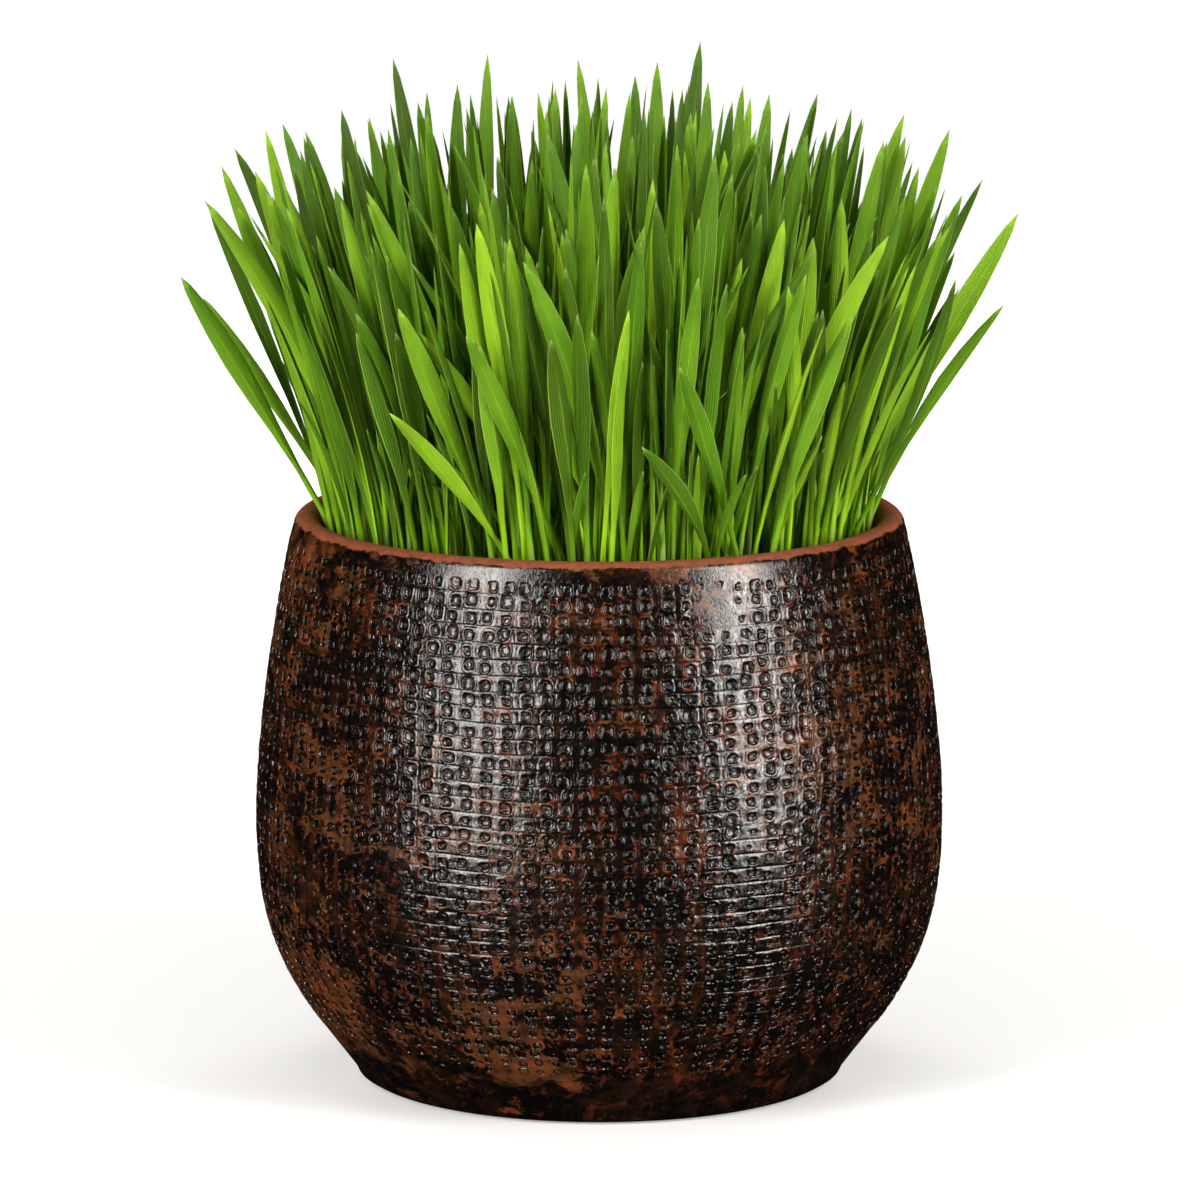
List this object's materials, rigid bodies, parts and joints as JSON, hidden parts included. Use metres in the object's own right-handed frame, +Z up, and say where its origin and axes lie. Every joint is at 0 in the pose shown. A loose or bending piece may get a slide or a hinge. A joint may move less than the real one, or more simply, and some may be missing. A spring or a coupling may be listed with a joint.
{
  "type": "potted cat grass",
  "caption": "Round bellied clay planter, dark glazed and dimpled outside with a bare clay lip, filled with soil and a dense stand of upright green cereal grass.",
  "frame": {"origin": "centre of the flat foot that the planter rests on", "axes": "+Z up along the planter's axis, towards the grass tips; -Y is the side the picture was taken from, +X is to its right"},
  "size_m": [0.228, 0.2023, 0.283],
  "materials": {
    "pot_glaze": "satin",
    "soil": "matte",
    "grass": "satin"
  },
  "bodies": {
    "root": {"pot": "pot_glaze", "soil": "soil", "grass_tuft_01": "grass", "grass_tuft_02": "grass", "grass_tuft_03": "grass", "grass_tuft_04": "grass", "grass_tuft_05": "grass", "grass_tuft_06": "grass", "grass_tuft_07": "grass", "grass_tuft_08": "grass", "grass_tuft_09": "grass", "grass_tuft_10": "grass", "grass_tuft_11": "grass", "grass_tuft_12": "grass", "grass_tuft_13": "grass", "grass_tuft_14": "grass", "grass_tuft_15": "grass", "grass_tuft_16": "grass", "grass_tuft_17": "grass", "grass_tuft_18": "grass", "grass_tuft_19": "grass", "grass_tuft_20": "grass", "grass_tuft_21": "grass", "grass_tuft_22": "grass", "grass_tuft_23": "grass", "grass_tuft_24": "grass", "grass_tuft_25": "grass", "grass_tuft_26": "grass", "grass_tuft_27": "grass", "grass_tuft_28": "grass", "grass_tuft_29": "grass", "grass_tuft_30": "grass", "grass_tuft_31": "grass", "grass_tuft_32": "grass", "grass_tuft_33": "grass", "grass_tuft_34": "grass", "grass_tuft_35": "grass", "grass_tuft_36": "grass", "grass_tuft_37": "grass"}
  },
  "joints": []
}
